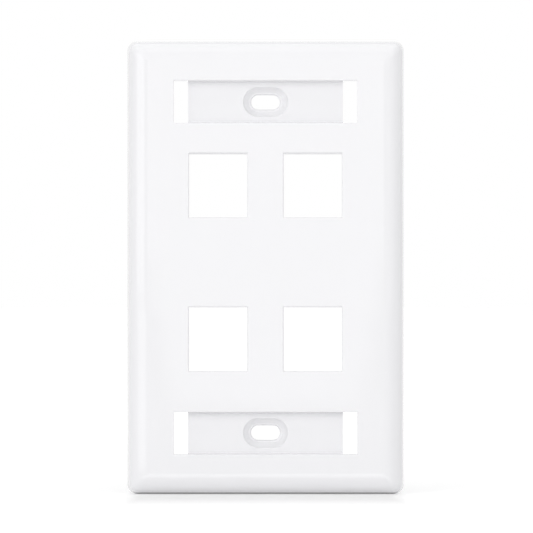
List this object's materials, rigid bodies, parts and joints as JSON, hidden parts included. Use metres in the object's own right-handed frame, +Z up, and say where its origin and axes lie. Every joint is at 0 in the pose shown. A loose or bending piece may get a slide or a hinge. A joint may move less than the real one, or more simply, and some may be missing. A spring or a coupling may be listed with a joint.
{
  "type": "keystone faceplate",
  "caption": "One-gang moulded wall plate with keystone jack ports, label windows and countersunk screw slots.",
  "frame": {"origin": "centre of the rim, in the plane of the wall", "axes": "+Z up the plate, +Y into the wall, +X to the right seen from the front"},
  "size_m": [0.0698, 0.01, 0.1142],
  "materials": {
    "plate": "polished white moulding"
  },
  "bodies": {
    "root": {"faceplate": "plate"}
  },
  "joints": []
}
